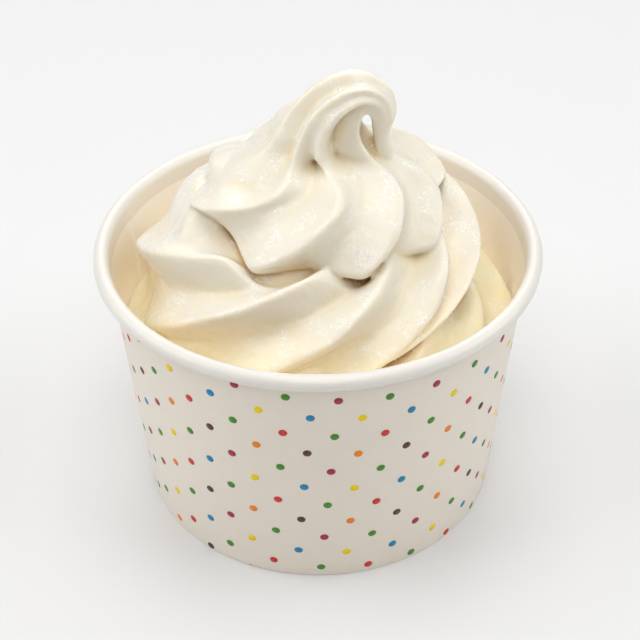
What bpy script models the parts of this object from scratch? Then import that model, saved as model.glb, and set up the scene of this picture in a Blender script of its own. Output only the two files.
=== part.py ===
"""Frozen yogurt cup: a paper cup with a rolled rim, filled with a fluted soft-serve swirl.

Frame: metres, +Z up, origin at the centre of the foot of the cup, front of the cup toward -Y.
Azimuths are in degrees, 0 at the front and growing toward +X.
"""

import math

import bmesh
import bpy
import numpy as np

# Paper cup, metres.
RIM_RADIUS = 0.0475
CUP_HEIGHT = 0.0615
FOOT_RADIUS = 0.0390
SHEET = 0.0005
BEAD_RADIUS = 0.00166
FIT_GAP = 0.0003
ROLL_FROM = 0.0570
ROLL_END_ANGLE = -2.15
ROLL_INNER_STEPS = 8
ROLL_OUTER_STEPS = 13
HEM_HEIGHT = 0.0056
HEM_CORNER = 0.00025
INNER_LAP_FOOT = 0.0090
INNER_LAP_FADE = 0.0078
SEAM_OUTER_EDGE = 241.0
SEAM_LAP_ANGLE = 10.0
SEAM_STEP = 0.00035
SEAM_RAMP_ANGLE = 0.5
CUP_STATIONS = 64
SHARP_ANGLE = 35.0

# The paper bottom of the cup, a disc with a skirt that stands in the hem.
BASE_SHEET = 0.00045
BASE_TOP = 0.0066
BASE_BEND = 0.0004
BASE_HUB_RADIUS = 0.0150
SKIRT_FOOT = 0.0009

# Yogurt: heights of the plain fill and its clearance from the paper, and the form of the flutes.
FILL_FOOT = 0.0070
FILL_HEIGHTS = (FILL_FOOT, 0.0080, 0.0200, 0.0340, 0.0415)
FILL_CLEARANCE = 0.0004
FLUTE_SHARPNESS = 1.9
RIDGE_ROUNDING = 0.12
FULL_FLUTE_ANGLE = 45.0
WIDEST_FLUTE = 1.05

# Meshing of the yogurt.
AROUND = 240
TURN_RINGS = 64
VOXEL = 0.0008
SMOOTH_ROUNDS = 4
SMOOTH_FACTOR = 0.5
YOGURT_TRIANGLES = 7900

PAPER_WHITE = (0.80, 0.78, 0.74, 1.0)
YOGURT_CREAM = (0.85, 0.75, 0.56, 1.0)

MM = 0.001


def clear_scene():
    for old in list(bpy.data.objects):
        bpy.data.objects.remove(old, do_unlink=True)


def make_material(name, colour, roughness):
    material = bpy.data.materials.new(name)
    material.use_nodes = True
    shader = material.node_tree.nodes["Principled BSDF"]
    shader.inputs["Base Color"].default_value = colour
    shader.inputs["Roughness"].default_value = roughness
    material.diffuse_color = colour
    return material


def add_object(name, mesh, material, smooth_angle=None):
    mesh.materials.append(material)
    made = bpy.data.objects.new(name, mesh)
    bpy.context.scene.collection.objects.link(made)
    mesh.shade_smooth()
    if smooth_angle is not None:
        mesh.set_sharp_from_angle(angle=math.radians(smooth_angle))
    return made


def grid_mesh(name, rings, wrap_rings, caps):
    """Mesh through rings of points; wrap_rings closes the last ring on the first."""
    count = len(rings)
    around = len(rings[0])
    points = [tuple(point) for ring in rings for point in ring]
    faces = []
    for i in range(count if wrap_rings else count - 1):
        j = (i + 1) % count
        for k in range(around):
            m = (k + 1) % around
            faces.append((i * around + k, i * around + m, j * around + m, j * around + k))
    if caps:
        for ring_index in (0, count - 1):
            centre = len(points)
            points.append(tuple(np.mean(rings[ring_index], axis=0)))
            base = ring_index * around
            for k in range(around):
                m = (k + 1) % around
                faces.append((base + k, base + m, centre))
    mesh = bpy.data.meshes.new(name)
    mesh.from_pydata(points, [], faces)
    shaped = bmesh.new()
    shaped.from_mesh(mesh)
    bmesh.ops.recalc_face_normals(shaped, faces=shaped.faces)
    if shaped.calc_volume(signed=True) < 0.0:
        bmesh.ops.reverse_faces(shaped, faces=shaped.faces)
    shaped.to_mesh(mesh)
    shaped.free()
    return mesh


# Cup wall: one lapped paper sleeve, its top rolled outward and its foot folded up inside.

BEAD_CENTRE_RADIUS = RIM_RADIUS - BEAD_RADIUS
BEAD_CENTRE_HEIGHT = CUP_HEIGHT - BEAD_RADIUS
WALL_TOP_RADIUS = RIM_RADIUS - 2.0 * BEAD_RADIUS + SHEET
WALL_SLOPE = (WALL_TOP_RADIUS - FOOT_RADIUS) / BEAD_CENTRE_HEIGHT


def wall_outside(height):
    return FOOT_RADIUS + WALL_SLOPE * height


def wall_inside(height):
    return wall_outside(height) - SHEET


def arc(radius, start, end, steps):
    """Points of the rim roll from one angle to the other, in radians."""
    points = []
    for i in range(steps + 1):
        turn = start + (end - start) * i / steps
        points.append((
            BEAD_CENTRE_RADIUS + radius * math.cos(turn),
            BEAD_CENTRE_HEIGHT + radius * math.sin(turn),
        ))
    return points


def cup_wall_section():
    """Radius, height, outer lap share and inner lap share of each point of the sleeve."""
    leg_outer = SHEET + FIT_GAP + BASE_SHEET + FIT_GAP
    leg_inner = leg_outer + SHEET
    section = []
    section.append((wall_outside(0.0) - HEM_CORNER, 0.0, 0.0, 0.0))
    section.append((wall_outside(HEM_CORNER), HEM_CORNER, 1.0, 0.0))
    section.append((wall_outside(CUP_HEIGHT * 0.5), CUP_HEIGHT * 0.5, 1.0, 0.0))
    section.append((wall_outside(ROLL_FROM), ROLL_FROM, 1.0, 0.0))
    for radius, height in arc(BEAD_RADIUS - SHEET, math.pi, ROLL_END_ANGLE, ROLL_INNER_STEPS):
        section.append((radius, height, 0.0, 0.0))
    for radius, height in arc(BEAD_RADIUS, ROLL_END_ANGLE, math.pi, ROLL_OUTER_STEPS):
        section.append((radius, height, 0.0, 0.0))
    section.append((wall_inside(ROLL_FROM), ROLL_FROM, 0.0, 1.0))
    section.append((wall_inside(CUP_HEIGHT * 0.5), CUP_HEIGHT * 0.5, 0.0, 1.0))
    section.append((wall_inside(INNER_LAP_FOOT), INNER_LAP_FOOT, 0.0, 1.0))
    section.append((wall_inside(INNER_LAP_FADE), INNER_LAP_FADE, 0.0, 0.0))
    section.append((wall_inside(SHEET), SHEET, 0.0, 0.0))
    section.append((wall_outside(SHEET) - leg_outer, SHEET, 0.0, 0.0))
    section.append((wall_outside(HEM_HEIGHT) - leg_outer, HEM_HEIGHT, 0.0, 0.0))
    section.append((wall_outside(HEM_HEIGHT) - leg_inner, HEM_HEIGHT, 0.0, 0.0))
    section.append((wall_outside(HEM_CORNER) - leg_inner, HEM_CORNER, 0.0, 0.0))
    section.append((wall_outside(0.0) - leg_inner + HEM_CORNER, 0.0, 0.0, 0.0))
    return section


def lap_steps(azimuth):
    """Outer and inner step of the lapped seam at an azimuth, as shares of a full step."""
    along = (azimuth - SEAM_OUTER_EDGE) % 360.0
    if along > SEAM_LAP_ANGLE + SEAM_RAMP_ANGLE:
        return 0.0, 0.0
    rise = min(1.0, along / SEAM_RAMP_ANGLE)
    fall = min(1.0, (SEAM_LAP_ANGLE + SEAM_RAMP_ANGLE - along) / SEAM_RAMP_ANGLE)
    share = min(1.0, along / (SEAM_LAP_ANGLE + SEAM_RAMP_ANGLE))
    outer_step = (1.0 - share) * rise
    inner_step = share * fall
    return outer_step, inner_step


def station_azimuths():
    even = [360.0 * i / CUP_STATIONS for i in range(CUP_STATIONS)]
    lap_ends = (
        SEAM_OUTER_EDGE,
        SEAM_OUTER_EDGE + SEAM_RAMP_ANGLE,
        SEAM_OUTER_EDGE + SEAM_LAP_ANGLE,
        SEAM_OUTER_EDGE + SEAM_LAP_ANGLE + SEAM_RAMP_ANGLE,
    )
    return sorted(even + list(lap_ends))


def spun(radius, height, azimuth):
    turn = math.radians(azimuth)
    return (radius * math.sin(turn), -radius * math.cos(turn), height)


def build_cup_wall():
    rings = []
    for azimuth in station_azimuths():
        outer_step, inner_step = lap_steps(azimuth)
        ring = []
        for radius, height, outer_share, inner_share in cup_wall_section():
            step = outer_step * outer_share - inner_step * inner_share
            ring.append(spun(radius + SEAM_STEP * step, height, azimuth))
        rings.append(ring)
    mesh = grid_mesh("cup_wall", rings, wrap_rings=True, caps=False)
    add_object("cup_wall", mesh, make_material("coated_paper_sleeve", PAPER_WHITE, 0.5), SHARP_ANGLE)


# Cup base: the recessed bottom disc, turned down at its edge into the hem.

def build_cup_base():
    outer = SHEET + FIT_GAP
    inner = outer + BASE_SHEET
    rings_profile = [
        (BASE_HUB_RADIUS, BASE_TOP),
        (wall_outside(BASE_TOP) - outer - BASE_BEND, BASE_TOP),
        (wall_outside(BASE_TOP - BASE_BEND) - outer, BASE_TOP - BASE_BEND),
        (wall_outside(SKIRT_FOOT) - outer, SKIRT_FOOT),
        (wall_outside(SKIRT_FOOT) - inner, SKIRT_FOOT),
        (wall_outside(BASE_TOP - BASE_SHEET) - inner, BASE_TOP - BASE_SHEET),
        (BASE_HUB_RADIUS, BASE_TOP - BASE_SHEET),
    ]
    rings = []
    for radius, height in rings_profile:
        azimuths = [360.0 * i / CUP_STATIONS for i in range(CUP_STATIONS)]
        rings.append([spun(radius, height, azimuth) for azimuth in azimuths])
    mesh = grid_mesh("cup_base", rings, wrap_rings=False, caps=True)
    add_object("cup_base", mesh, make_material("coated_paper_disc", PAPER_WHITE, 0.5), SHARP_ANGLE)


# Frozen yogurt: one rope with eight flutes, laid in three turns and drawn up into a curl.

def smooth_curve(knots, values, at):
    """Cubic curve through the knots, with slopes from the neighbours (Catmull-Rom)."""
    knots = np.asarray(knots, float)
    values = np.asarray(values, float)
    at = np.clip(at, knots[0], knots[-1])
    slopes = np.gradient(values, knots)
    left = np.clip(np.searchsorted(knots, at, side="right") - 1, 0, len(knots) - 2)
    span = knots[left + 1] - knots[left]
    t = (at - knots[left]) / span
    start = values[left] * (2 * t**3 - 3 * t**2 + 1) + slopes[left] * span * (t**3 - 2 * t**2 + t)
    end = values[left + 1] * (3 * t**2 - 2 * t**3) + slopes[left + 1] * span * (t**3 - t**2)
    return start + end


def between_ridges(azimuth, ridges, *ridge_values):
    """Valley depth share at each azimuth, and the values of the two ridges beside it blended.

    The share is 0 on a ridge and 1 in the middle of a full flute; narrow flutes are shallow.
    """
    order = np.argsort(np.mod(ridges, 360.0))
    sorted_ridges = np.mod(ridges, 360.0)[order]
    closed = np.concatenate([sorted_ridges, sorted_ridges[:1] + 360.0])
    turned = np.mod(azimuth - closed[0], 360.0) + closed[0]
    left = np.clip(np.searchsorted(closed, turned, side="right") - 1, 0, len(order) - 1)
    gap = closed[left + 1] - closed[left]
    place = (turned - closed[left]) / np.maximum(gap, 1e-6)
    from_ridge = 1.0 - np.abs(2.0 * place - 1.0)
    rounded = np.hypot(from_ridge, RIDGE_ROUNDING) - RIDGE_ROUNDING
    rounded /= math.hypot(1.0, RIDGE_ROUNDING) - RIDGE_ROUNDING
    valley = 1.0 - (1.0 - rounded) ** FLUTE_SHARPNESS
    valley *= np.minimum(gap / FULL_FLUTE_ANGLE, WIDEST_FLUTE)
    eased = place * place * (3.0 - 2.0 * place)
    blended = []
    for values in ridge_values:
        near = np.asarray(values, float)[order]
        closed_values = np.concatenate([near, near[:1]])
        blended.append(closed_values[left] * (1.0 - eased) + closed_values[left + 1] * eased)
    return valley, *blended


AZIMUTHS = np.arange(AROUND) * 360.0 / AROUND

# Lower and middle turns, in millimetres and degrees. The stations run up the outside of the
# turn and over its top: radius, height, how far the ridges have twisted as a height, and the
# depth of the flutes. The foot is given at the front, right, back and left of the cup; tuck is
# how far above the foot the side leans in, and by what share. Ridges: azimuth at the ridge
# height, twist per millimetre above and below it, how high it rides, its reach, and the share of
# the full depth of the flutes beside it. Pockets are hollows between the folds: azimuth and
# station, half-width in degrees and in stations, and depth, which is negative for a swelling.
LOWER_TURN = {
    "centre": (0.0, 0.0),
    "stations": (
        (43.5, 32.0, 32.0, 0.5),
        (43.3, 38.0, 38.0, 1.0),
        (43.0, 42.0, 42.0, 2.4),
        (41.4, 45.0, 45.0, 3.2),
        (39.4, 48.0, 48.0, 3.4),
        (37.0, 51.0, 51.0, 3.4),
        (34.0, 53.4, 54.0, 3.4),
        (31.0, 54.0, 56.0, 3.2),
        (28.0, 52.6, 58.0, 2.5),
        (25.0, 50.0, 60.0, 1.5),
    ),
    "foot": (30.0, 30.0, 30.0, 30.0),
    "tuck": (3.0, 0.0),
    "ridge_height": 46.0,
    "ridges": (
        (-160.0, 3.0, 2.0, 1.5, 1.0, 1.0),
        (-115.0, 3.0, 2.0, 0.5, 1.0, 1.0),
        (-68.0, 3.0, 2.0, 0.0, 1.0, 1.0),
        (-28.0, 3.0, 2.0, 0.0, 1.0, 1.0),
        (14.0, 3.0, 2.0, 0.0, 1.0, 1.0),
        (52.0, 3.0, 2.0, 0.5, 1.0, 1.0),
        (98.0, 3.0, 2.0, 1.0, 1.0, 1.0),
        (146.0, 3.0, 2.0, 2.0, 1.0, 1.0),
    ),
    "pockets": (),
}
MIDDLE_TURN = {
    "centre": (-1.8, 0.0),
    "stations": (
        (34.0, 42.0, 42.0, 3.0),
        (36.5, 46.0, 46.0, 4.0),
        (37.3, 50.0, 50.0, 4.6),
        (37.2, 55.0, 55.0, 5.0),
        (36.9, 59.0, 59.0, 5.1),
        (36.0, 62.0, 62.0, 5.2),
        (33.6, 66.0, 66.0, 5.6),
        (30.6, 68.7, 69.4, 5.9),
        (27.8, 70.2, 72.0, 5.6),
        (25.2, 70.6, 74.0, 4.8),
        (22.4, 70.2, 76.0, 3.8),
        (19.5, 69.2, 78.0, 2.8),
        (16.0, 67.8, 80.0, 1.8),
    ),
    "foot": (50.0, 58.5, 66.0, 46.0),
    "tuck": (2.4, 0.26),
    "ridge_height": 62.0,
    "ridges": (
        (-83.0, 4.0, 3.0, 1.2, 1.0, 0.75),
        (-37.0, 3.4, 2.4, 0.0, 1.0, 1.0),
        (8.0, 2.6, 2.7, -0.3, 1.0, 1.0),
        (45.0, 2.6, 2.8, 0.2, 1.0, 1.0),
        (84.0, 3.0, 5.6, 3.5, 1.0, 1.0),
        (130.0, 3.0, 4.5, 3.5, 1.0, 1.0),
        (178.0, 3.0, 3.0, 3.5, 0.97, 0.8),
        (227.0, 3.5, 3.0, 2.8, 0.87, 0.05),
    ),
    "pockets": (
        (-26.0, 9.9, 14.0, 0.9, 2.4),
        (-24.0, 7.8, 12.0, 0.9, -1.4),
        (-70.0, 8.5, 13.0, 2.2, -3.2),
        (24.0, 9.6, 10.0, 0.9, 1.5),
    ),
}


def around_cup(quarters, azimuth):
    """Value at an azimuth from the values at the front, right, back and left."""
    front, right, back, left = quarters
    knots = (-90.0, 0.0, 90.0, 180.0, 270.0)
    turned = np.mod(azimuth + 90.0, 360.0) - 90.0
    place = np.clip(np.searchsorted(knots, turned, side="right") - 1, 0, 3)
    values = np.array((left, front, right, back, left))
    share = (turned - np.array(knots)[place]) / 90.0
    eased = share * share * (3.0 - 2.0 * share)
    return values[place] * (1.0 - eased) + values[place + 1] * eased


def along_stations(stations, rings):
    """Values at evenly spaced places along a list of stations."""
    table = np.array(stations)
    knots = np.arange(len(table), dtype=float)
    places = np.linspace(0.0, knots[-1], rings)
    columns = [smooth_curve(knots, table[:, k], places) for k in range(table.shape[1])]
    return places, np.stack(columns, axis=1)


def pockets(places, at):
    """Depth of the pockets at every azimuth of a station."""
    depth = np.zeros(AROUND)
    for middle, station, half_width, half_length, deepest in places:
        turn = np.mod(AZIMUTHS - middle + 180.0, 360.0) - 180.0
        depth += deepest * np.exp(-(turn / half_width) ** 2 - ((at - station) / half_length) ** 2)
    return depth


def coil_turn(turn):
    """Rings of one turn of the coil: a fluted body whose foot climbs around the cup."""
    azimuth, twist_above, twist_below, ride, reach, cut = np.array(turn["ridges"]).T
    tuck_height, tuck_share = turn["tuck"]
    foot = around_cup(turn["foot"], AZIMUTHS)
    angle = np.radians(AZIMUTHS)
    rings = []
    places, stations = along_stations(turn["stations"], TURN_RINGS)
    slope = np.gradient(stations[:, :2], axis=0)
    slope /= np.linalg.norm(slope, axis=1)[:, None]
    for at, (radius, height, progress, depth), (outward, upward) in zip(places, stations, slope):
        rise = progress - turn["ridge_height"]
        twist = twist_above if rise > 0.0 else twist_below
        ridges = azimuth + twist * rise
        valley, lift, stretch, share = between_ridges(AZIMUTHS, ridges, ride, reach, cut)
        valley *= share
        over_top = max(0.0, progress - height)
        above = np.clip((height + lift + over_top - foot) / tuck_height, 0.0, 1.0)
        tuck = tuck_share * (1.0 - np.sqrt(1.0 - (1.0 - above) ** 2))
        sink = depth * valley + pockets(turn["pockets"], at)
        body = radius * stretch * (1.0 - tuck) - sink * upward
        rings.append(np.stack([
            turn["centre"][0] + body * np.sin(angle),
            turn["centre"][1] - body * np.cos(angle),
            height + lift + sink * outward,
        ], axis=1) * MM)
    return rings


# Top turn and curl: stations along the drawn-up centre line, in millimetres and degrees.
# Each: radius, x, y, z, tilt toward +X, and the depth of the flutes.
TOP_STATIONS = (
    (14.0, 0.0, 0.0, 70.0, 0.0, 1.5),
    (21.5, 0.0, 0.0, 69.7, 0.0, 3.0),
    (25.6, 0.0, 0.0, 69.8, 0.0, 4.2),
    (27.0, 0.0, 0.0, 71.5, 0.0, 4.6),
    (26.3, 0.0, 0.0, 74.5, 0.0, 4.5),
    (24.2, 0.0, 0.0, 77.7, 0.0, 4.4),
    (20.6, 0.2, 0.0, 80.3, 0.0, 4.4),
    (16.3, 0.4, 0.0, 82.8, 0.0, 4.6),
    (12.2, 0.9, 0.0, 85.0, 2.0, 4.8),
    (9.9, 1.6, -0.3, 87.8, 8.0, 3.8),
    (8.3, 2.6, -0.6, 91.0, 20.0, 2.8),
    (6.8, 4.8, -1.0, 94.4, 46.0, 2.2),
    (5.2, 8.6, -1.4, 97.0, 85.0, 1.5),
    (3.8, 12.0, -1.7, 96.0, 135.0, 0.7),
    (2.7, 13.2, -1.9, 92.6, 172.0, 0.2),
    (1.8, 12.9, -2.1, 89.4, 186.0, 0.0),
    (1.6, 13.1, -2.3, 86.6, 172.0, 0.0),
    (1.6, 13.8, -2.6, 84.4, 158.0, 0.0),
    (0.9, 14.4, -2.9, 83.0, 150.0, 0.0),
)
# Ridges of the top turn: azimuths at five stations from the foot to the peak, reach at the foot
# and on the crown of the turn, how high the foot rides, and the share of the full flute depth.
TOP_RIDGE_STATIONS = (3.0, 5.0, 7.0, 9.0, 11.0)
TOP_RIDGES = (
    (-123.0, -96.0, -79.0, -78.0, -92.0, 0.90, 1.0, 5.6, 0.45),
    (-77.0, -54.0, -29.0, -35.0, -40.0, 1.0, 1.0, 4.2, 0.95),
    (-28.0, -4.0, 14.0, -9.0, -11.0, 1.0, 1.0, -1.0, 1.0),
    (20.0, 43.0, 59.0, 55.0, 52.0, 1.0, 1.06, -1.6, 1.0),
    (61.0, 82.0, 80.0, 90.0, 100.0, 1.02, 1.12, -2.6, 1.0),
    (105.0, 126.0, 130.0, 127.0, 130.0, 1.04, 1.0, 2.5, 1.0),
    (149.0, 170.0, 178.0, 176.0, 176.0, 0.97, 1.08, 3.0, 0.8),
    (194.0, 215.0, 226.0, 228.0, 230.0, 0.86, 1.2, 3.5, 0.5),
)
CROWN_SPAN = (5.0, 9.0)
TOP_POCKETS = (
    (-8.0, 7.8, 11.0, 0.5, 2.8),
    (-25.0, 10.2, 13.0, 1.4, -1.2),
    (21.0, 10.0, 20.0, 1.6, 2.4),
    (34.0, 8.1, 12.0, 0.45, 1.0),
)
PEAK_FROM = 10.0
TOP_LIFT_SPAN = (70.0, 80.0)
TOP_RINGS = 150


def eased_step(value, start, end):
    """Goes smoothly from 0 at the start to 1 at the end."""
    share = min(1.0, max(0.0, (value - start) / (end - start)))
    return share * share * (3.0 - 2.0 * share)


def top_turn():
    """Rings of the top turn, the peak and the curl, swept along the centre line."""
    columns = np.array(TOP_RIDGES).T
    knots = len(TOP_RIDGE_STATIONS)
    ridge_tracks = columns[:knots]
    foot_reach, crown_reach, ride, cut = columns[knots:]
    angle = np.radians(AZIMUTHS)
    rings = []
    for at, values in zip(*along_stations(TOP_STATIONS, TOP_RINGS)):
        radius, x, y, z, tilt, depth = values
        ridges = np.array([smooth_curve(TOP_RIDGE_STATIONS, track, at) for track in ridge_tracks.T])
        crown = eased_step(at, *CROWN_SPAN)
        reach = foot_reach * (1.0 - crown) + crown_reach * crown
        valley, stretch, lift, share = between_ridges(AZIMUTHS, ridges, reach, ride, cut)
        spread = min(1.0, max(0.0, PEAK_FROM - at))
        valley *= 1.0 - (1.0 - share) * spread
        body = radius * (1.0 + (stretch - 1.0) * spread) - depth * valley - pockets(TOP_POCKETS, at)
        lift_share = (TOP_LIFT_SPAN[1] - z) / (TOP_LIFT_SPAN[1] - TOP_LIFT_SPAN[0])
        lean = math.radians(tilt)
        across = body * np.sin(angle)
        rings.append(np.stack([
            x + across * math.cos(lean),
            y - body * np.cos(angle),
            z - across * math.sin(lean) + lift * min(1.0, max(0.0, lift_share)),
        ], axis=1) * MM)
    return rings


def fill_rings():
    """Rings of the plain fill below the turns, just clear of the paper."""
    rings = []
    for height in FILL_HEIGHTS:
        radius = wall_inside(height) - FILL_CLEARANCE
        angle = np.radians(AZIMUTHS)
        rings.append(np.stack([
            radius * np.sin(angle),
            -radius * np.cos(angle),
            np.full(AROUND, height),
        ], axis=1))
    return rings


def join_bodies(parts):
    joined = bmesh.new()
    for mesh in parts:
        joined.from_mesh(mesh)
    mesh = bpy.data.meshes.new("yogurt_bodies")
    joined.to_mesh(mesh)
    joined.free()
    return mesh


def fused(mesh, voxel, triangles):
    """One closed skin around overlapping bodies, smoothed and thinned to a triangle count."""
    carrier = bpy.data.objects.new("yogurt_carrier", mesh)
    bpy.context.scene.collection.objects.link(carrier)
    remesh = carrier.modifiers.new("fuse", "REMESH")
    remesh.mode = "VOXEL"
    remesh.voxel_size = voxel
    soften = carrier.modifiers.new("soften", "SMOOTH")
    soften.factor = SMOOTH_FACTOR
    soften.iterations = SMOOTH_ROUNDS
    skin = evaluated_mesh(carrier)
    if triangles:
        carrier.modifiers.clear()
        carrier.data = skin
        thin = carrier.modifiers.new("thin", "DECIMATE")
        thin.use_collapse_triangulate = True
        thin.ratio = triangles / (2.0 * len(skin.polygons))
        skin = evaluated_mesh(carrier)
    bpy.data.objects.remove(carrier, do_unlink=True)
    return skin


def evaluated_mesh(carrier):
    graph = bpy.context.evaluated_depsgraph_get()
    return bpy.data.meshes.new_from_object(carrier.evaluated_get(graph))


def keep_clear_of_paper(mesh):
    """Moves points that would touch the paper back to the clearance."""
    for vertex in mesh.vertices:
        spot = vertex.co
        spot.z = max(spot.z, FILL_FOOT)
        if spot.z < CUP_HEIGHT:
            limit = wall_inside(spot.z) - FILL_CLEARANCE
            radius = math.hypot(spot.x, spot.y)
            if radius > limit:
                spot.x *= limit / radius
                spot.y *= limit / radius


def yogurt_bodies():
    return join_bodies([
        grid_mesh("fill", fill_rings(), False, True),
        grid_mesh("lower_turn", coil_turn(LOWER_TURN), False, True),
        grid_mesh("middle_turn", coil_turn(MIDDLE_TURN), False, True),
        grid_mesh("top_turn", top_turn(), False, True),
    ])


def build_yogurt():
    mesh = fused(yogurt_bodies(), VOXEL, YOGURT_TRIANGLES)
    keep_clear_of_paper(mesh)
    mesh.name = "frozen_yogurt"
    mesh.materials.clear()
    add_object("frozen_yogurt", mesh, make_material("soft_serve", YOGURT_CREAM, 0.4))


clear_scene()
build_cup_wall()
build_cup_base()
build_yogurt()
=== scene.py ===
"""Frozen yogurt cup: a printed paper cup of fluted soft serve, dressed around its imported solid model.

Metres, +Z up, origin at the centre of the foot of the cup, front of the cup toward -Y.
Azimuths are in degrees, 0 at the front and growing toward +X.
"""

import math

import bmesh
import bpy
import numpy as np
from mathutils import Matrix, Vector, noise
from mathutils.bvhtree import BVHTree


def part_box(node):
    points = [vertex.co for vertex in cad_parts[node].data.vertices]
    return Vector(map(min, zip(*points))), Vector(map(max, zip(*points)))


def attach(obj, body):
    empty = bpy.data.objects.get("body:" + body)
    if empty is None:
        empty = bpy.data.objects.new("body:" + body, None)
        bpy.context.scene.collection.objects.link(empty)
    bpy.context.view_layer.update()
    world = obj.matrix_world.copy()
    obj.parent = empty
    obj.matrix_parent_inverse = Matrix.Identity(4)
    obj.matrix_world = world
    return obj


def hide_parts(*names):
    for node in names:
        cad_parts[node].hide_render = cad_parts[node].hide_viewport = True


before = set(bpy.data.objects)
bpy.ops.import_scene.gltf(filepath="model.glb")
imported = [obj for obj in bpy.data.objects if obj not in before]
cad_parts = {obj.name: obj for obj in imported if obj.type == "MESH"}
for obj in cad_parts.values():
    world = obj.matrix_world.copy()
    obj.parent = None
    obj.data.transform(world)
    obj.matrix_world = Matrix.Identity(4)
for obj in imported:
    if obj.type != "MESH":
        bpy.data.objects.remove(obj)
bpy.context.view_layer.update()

MM = 0.001


# The sleeve: white paperboard with a thin plastic film on both faces, cut as a flat fan, wound
# into a cone and sealed in a lapped side seam. Its top edge is rolled outward into the rim, and
# its foot is folded up inside, over the skirt of the bottom disc.

RIM_RADIUS = 47.5 * MM
CUP_HEIGHT = 61.5 * MM
FOOT_RADIUS = 39.0 * MM
SHEET = 0.5 * MM
BEAD_RADIUS = 1.66 * MM
FIT_GAP = 0.3 * MM
CURL_END = -2.15
HEM_HEIGHT = 5.6 * MM
HEM_CORNER = 0.25 * MM
BASE_SHEET = 0.45 * MM
SEAM_OUTER_EDGE = 241.0
SEAM_LAP_ANGLE = 10.0
SEAM_RAMP_ANGLE = 0.5
SEAM_STEP = 0.35 * MM
SLEEVE_STATIONS = 256
SLEEVE_ROWS = 14
STATION_GAP = 0.2
ROLL_INNER_STEPS = 16
ROLL_OUTER_STEPS = 26
SHARP_ANGLE = 35.0
BUCKLE = 0.10 * MM
BUCKLE_FADE = 12.0 * MM
# Slow waves of the wound board: share of the depth, waves around the cup, phase in radians, and
# how far they slant, in radians per metre of height.
BUCKLE_WAVES = (
    (1.0, 5.0, 1.1, 60.0),
    (0.7, 8.0, 2.3, -90.0),
)

BEAD_CENTRE_RADIUS = RIM_RADIUS - BEAD_RADIUS
BEAD_CENTRE_HEIGHT = CUP_HEIGHT - BEAD_RADIUS
WALL_TOP_RADIUS = RIM_RADIUS - 2.0 * BEAD_RADIUS + SHEET
WALL_SLOPE = (WALL_TOP_RADIUS - FOOT_RADIUS) / BEAD_CENTRE_HEIGHT
PRINT_TOP = 57.0 * MM
ROLL_FROM = 58.0 * MM
LAP_FOOT = 9.0 * MM
HEM_TOP = 7.8 * MM


def linear(code):
    """Linear colour, with full alpha, of an sRGB hex code."""
    channels = [int(code[i:i + 2], 16) / 255.0 for i in (1, 3, 5)]
    return [c / 12.92 if c <= 0.04045 else ((c + 0.055) / 1.055) ** 2.4 for c in channels] + [1.0]


def add_node(material, kind, settings=None, links=None):
    """Adds a shader node with its settings, by property or input, and its input links."""
    made = material.node_tree.nodes.new(kind)
    for name, value in (settings or {}).items():
        if isinstance(name, str) and hasattr(made, name):
            setattr(made, name, value)
        else:
            made.inputs[name].default_value = value
    for name, source in (links or {}).items():
        material.node_tree.links.new(source, made.inputs[name])
    return made


def new_material(name):
    """An empty node material, with the coordinates of the object in metres."""
    material = bpy.data.materials.new(name)
    material.use_nodes = True
    material.node_tree.nodes.clear()
    place = add_node(material, "ShaderNodeTexCoord").outputs["Object"]
    return material, place


def show_shader(material, shader):
    add_node(material, "ShaderNodeOutputMaterial", links={"Surface": shader.outputs[0]})


def add_piece(name, mesh, material):
    """Adds a smooth-shaded mesh as a piece that rides on the one body of the part."""
    mesh.materials.clear()
    mesh.materials.append(material)
    mesh.shade_smooth()
    piece = bpy.data.objects.new(name, mesh)
    bpy.context.scene.collection.objects.link(piece)
    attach(piece, "root")
    return piece


def grid_mesh(name, rings, wrap_rings=False, caps=False):
    """Mesh through rings of points; wrap_rings closes the last ring on the first."""
    count = len(rings)
    around = len(rings[0])
    points = [tuple(point) for ring in rings for point in ring]
    faces = []
    for i in range(count if wrap_rings else count - 1):
        j = (i + 1) % count
        for k in range(around):
            m = (k + 1) % around
            faces.append((i * around + k, i * around + m, j * around + m, j * around + k))
    if caps:
        for ring_index in (0, count - 1):
            centre = len(points)
            points.append(tuple(np.mean(rings[ring_index], axis=0)))
            base = ring_index * around
            for k in range(around):
                m = (k + 1) % around
                faces.append((base + k, base + m, centre))
    mesh = bpy.data.meshes.new(name)
    mesh.from_pydata(points, [], faces)
    shaped = bmesh.new()
    shaped.from_mesh(mesh)
    bmesh.ops.recalc_face_normals(shaped, faces=shaped.faces)
    if shaped.calc_volume(signed=True) < 0.0:
        bmesh.ops.reverse_faces(shaped, faces=shaped.faces)
    shaped.to_mesh(mesh)
    shaped.free()
    return mesh


def wall_outside(height):
    """Radius of the plain outside of the wall at a height."""
    return FOOT_RADIUS + WALL_SLOPE * height


def wall_inside(height):
    return wall_outside(height) - SHEET


def lap_steps(azimuth):
    """Outward and inward step of the lapped seam at an azimuth, as shares of a full step."""
    along = (azimuth - SEAM_OUTER_EDGE) % 360.0
    if along > SEAM_LAP_ANGLE + SEAM_RAMP_ANGLE:
        return 0.0, 0.0
    rise = min(1.0, along / SEAM_RAMP_ANGLE)
    fall = min(1.0, (SEAM_LAP_ANGLE + SEAM_RAMP_ANGLE - along) / SEAM_RAMP_ANGLE)
    share = min(1.0, along / (SEAM_LAP_ANGLE + SEAM_RAMP_ANGLE))
    return (1.0 - share) * rise, share * fall


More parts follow.
